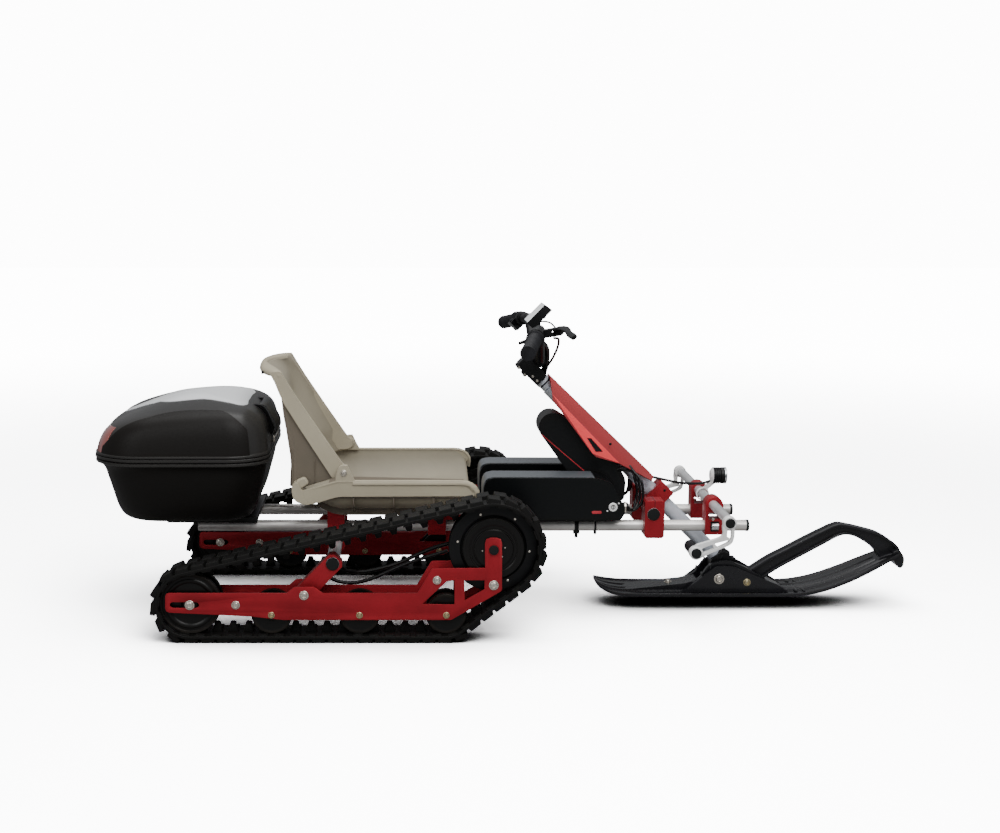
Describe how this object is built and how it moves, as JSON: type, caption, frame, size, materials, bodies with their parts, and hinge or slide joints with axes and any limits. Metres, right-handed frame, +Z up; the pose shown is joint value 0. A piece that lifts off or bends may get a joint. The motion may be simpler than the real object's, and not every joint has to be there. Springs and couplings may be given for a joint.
{
  "type": "snow kart",
  "caption": "Electric snow kart on two rubber tracks and one steered ski, with a reclined folding seat, side batteries, a rear top case, handlebar steering and foot rests.",
  "frame": {"origin": "on the snow, under the middle of the kart's length and width", "axes": "+X forwards to the ski, +Y to the rider's left, +Z up"},
  "size_m": [1.832, 0.7246, 0.6885],
  "materials": {
    "red_alloy": "red anodised plate",
    "panel_red": "painted sheet",
    "bright_alloy": "brushed",
    "black_alloy": "satin black",
    "motor_shell": "satin black casting",
    "belt_rubber": "moulded",
    "black_rubber": "moulded",
    "black_plastic": "fine texture",
    "gloss_plastic": "satin",
    "seat_plastic": "fine texture, warm grey"
  },
  "bodies": {
    "frame": {"rail_right": "bright_alloy", "rail_left": "bright_alloy", "rear_cross_tube": "bright_alloy", "front_cross_tube": "bright_alloy", "rear_clamp_right": "red_alloy", "rear_clamp_left": "red_alloy", "front_clamp_right": "red_alloy", "front_clamp_left": "red_alloy", "column_clamp": "red_alloy", "head_tube": "bright_alloy", "track_arm_right": "red_alloy", "track_arm_left": "red_alloy", "seat_bracket": "red_alloy", "seat_base": "seat_plastic", "case_rack": "black_plastic", "case_tub": "black_plastic", "battery_right": "gloss_plastic", "battery_left": "gloss_plastic", "motor_controller": "black_plastic", "front_panel": "panel_red", "foot_bracket_right": "red_alloy", "foot_bracket_left": "red_alloy", "foot_bar": "bright_alloy", "foot_arm_right": "bright_alloy", "foot_arm_left": "bright_alloy", "light_cable": "black_rubber", "motor_cable": "black_rubber"},
    "seat_back": {"seat_back": "seat_plastic"},
    "case_lid": {"case_lid": "black_plastic"},
    "case_latch": {"case_latch": "black_plastic"},
    "headlight": {"headlight": "gloss_plastic"},
    "steering": {"steering_spindle": "black_alloy", "stem": "black_alloy", "handlebar": "black_alloy", "grip_right": "black_rubber", "grip_left": "black_rubber", "display": "gloss_plastic", "control_pod": "gloss_plastic", "brake_cable": "black_rubber"},
    "brake_lever_right": {"brake_lever_right": "black_alloy"},
    "brake_lever_left": {"brake_lever_left": "black_alloy"},
    "throttle": {"thumb_throttle": "black_plastic"},
    "pod_button": {"pod_button": "black_rubber"},
    "ski": {"ski": "gloss_plastic"},
    "track_right": {"track_belt_right": "belt_rubber", "track_plate_outer_right": "red_alloy", "track_plate_inner_right": "red_alloy"},
    "hub_motor_right": {"hub_motor_right": "motor_shell"},
    "idler_right": {"idler_wheel_right": "black_plastic"},
    "bogie_rear_right": {"bogie_wheel_rear_right": "black_plastic"},
    "bogie_middle_right": {"bogie_wheel_middle_right": "black_plastic"},
    "bogie_front_right": {"bogie_wheel_front_right": "black_plastic"},
    "track_left": {"track_belt_left": "belt_rubber", "track_plate_outer_left": "red_alloy", "track_plate_inner_left": "red_alloy"},
    "hub_motor_left": {"hub_motor_left": "motor_shell"},
    "idler_left": {"idler_wheel_left": "black_plastic"},
    "bogie_rear_left": {"bogie_wheel_rear_left": "black_plastic"},
    "bogie_middle_left": {"bogie_wheel_middle_left": "black_plastic"},
    "bogie_front_left": {"bogie_wheel_front_left": "black_plastic"}
  },
  "joints": [
    {"name": "steer", "type": "hinge", "parent": "frame", "child": "steering", "pos_m": [0.2985, 0, 0.2985], "axis": [0.7071, 0, -0.7071], "range_deg": [-30, 30]},
    {"name": "ski_pitch", "type": "hinge", "parent": "steering", "child": "ski", "pos_m": [0.487, 0, 0.065], "axis": [0, 1, 0], "range_deg": [-20, 15]},
    {"name": "brake_right", "type": "hinge", "parent": "steering", "child": "brake_lever_right", "pos_m": [0.09174, -0.21119, 0.64801], "axis": [0.2036, 0.1015, -0.9738], "range_deg": [0, 20], "stiffness_Nm_per_rad": 1.5, "springref_deg": -5.73},
    {"name": "brake_left", "type": "hinge", "parent": "steering", "child": "brake_lever_left", "pos_m": [0.09174, 0.21119, 0.64801], "axis": [-0.2036, 0.1015, 0.9738], "range_deg": [0, 20], "stiffness_Nm_per_rad": 1.5, "springref_deg": -5.73},
    {"name": "throttle_press", "type": "hinge", "parent": "steering", "child": "throttle", "pos_m": [0.0415, -0.24, 0.6345], "axis": [-0.2022, -0.9688, -0.1432], "range_deg": [0, 30], "stiffness_Nm_per_rad": 0.15, "springref_deg": -5.73},
    {"name": "button_press", "type": "slide", "parent": "steering", "child": "pod_button", "axis": [0.7168, 0.0467, -0.6957], "range_m": [0, 0.0015], "stiffness_N_per_m": 600, "springref_m": -0.001},
    {"name": "headlight_tilt", "type": "hinge", "parent": "frame", "child": "headlight", "pos_m": [0.459, 0, 0.249], "axis": [0, 1, 0], "range_deg": [0, 25]},
    {"name": "seat_back_fold", "type": "hinge", "parent": "frame", "child": "seat_back", "pos_m": [-0.364, 0, 0.342], "axis": [0, 1, 0], "range_deg": [0, 100]},
    {"name": "case_lid_open", "type": "hinge", "parent": "frame", "child": "case_lid", "pos_m": [-0.916, 0, 0.378], "axis": [0, -1, 0], "range_deg": [0, 75]},
    {"name": "case_latch_pull", "type": "hinge", "parent": "case_lid", "child": "case_latch", "pos_m": [-0.558, 0, 0.4791], "axis": [0, -1, 0], "range_deg": [0, 14]},
    {"name": "track_rock_right", "type": "hinge", "parent": "frame", "child": "track_right", "pos_m": [-0.445, -0.29, 0.102], "axis": [0, 1, 0], "range_deg": [-6, 6]},
    {"name": "track_rock_left", "type": "hinge", "parent": "frame", "child": "track_left", "pos_m": [-0.445, 0.29, 0.102], "axis": [0, 1, 0], "range_deg": [-6, 6]},
    {"name": "drive_spin_right", "type": "hinge", "parent": "track_right", "child": "hub_motor_right", "pos_m": [-0.046, -0.29, 0.2], "axis": [0, 1, 0], "continuous": true},
    {"name": "idler_spin_right", "type": "hinge", "parent": "track_right", "child": "idler_right", "pos_m": [-0.686, -0.29, 0.081], "axis": [0, 1, 0], "continuous": true},
    {"name": "bogie_rear_spin_right", "type": "hinge", "parent": "track_right", "child": "bogie_rear_right", "pos_m": [-0.514, -0.29, 0.059], "axis": [0, 1, 0], "continuous": true},
    {"name": "bogie_middle_spin_right", "type": "hinge", "parent": "track_right", "child": "bogie_middle_right", "pos_m": [-0.328, -0.29, 0.059], "axis": [0, 1, 0], "continuous": true},
    {"name": "bogie_front_spin_right", "type": "hinge", "parent": "track_right", "child": "bogie_front_right", "pos_m": [-0.145, -0.29, 0.059], "axis": [0, 1, 0], "continuous": true},
    {"name": "drive_spin_left", "type": "hinge", "parent": "track_left", "child": "hub_motor_left", "pos_m": [-0.046, 0.29, 0.2], "axis": [0, 1, 0], "continuous": true},
    {"name": "idler_spin_left", "type": "hinge", "parent": "track_left", "child": "idler_left", "pos_m": [-0.686, 0.29, 0.081], "axis": [0, 1, 0], "continuous": true},
    {"name": "bogie_rear_spin_left", "type": "hinge", "parent": "track_left", "child": "bogie_rear_left", "pos_m": [-0.514, 0.29, 0.059], "axis": [0, 1, 0], "continuous": true},
    {"name": "bogie_middle_spin_left", "type": "hinge", "parent": "track_left", "child": "bogie_middle_left", "pos_m": [-0.328, 0.29, 0.059], "axis": [0, 1, 0], "continuous": true},
    {"name": "bogie_front_spin_left", "type": "hinge", "parent": "track_left", "child": "bogie_front_left", "pos_m": [-0.145, 0.29, 0.059], "axis": [0, 1, 0], "continuous": true}
  ],
  "couplings": [
    {"joint": "idler_spin_right", "follows": "drive_spin_right", "ratio": 1.4371},
    {"joint": "bogie_rear_spin_right", "follows": "drive_spin_right", "ratio": 2.169},
    {"joint": "bogie_middle_spin_right", "follows": "drive_spin_right", "ratio": 2.169},
    {"joint": "bogie_front_spin_right", "follows": "drive_spin_right", "ratio": 2.169},
    {"joint": "idler_spin_left", "follows": "drive_spin_left", "ratio": 1.4371},
    {"joint": "bogie_rear_spin_left", "follows": "drive_spin_left", "ratio": 2.169},
    {"joint": "bogie_middle_spin_left", "follows": "drive_spin_left", "ratio": 2.169},
    {"joint": "bogie_front_spin_left", "follows": "drive_spin_left", "ratio": 2.169}
  ]
}
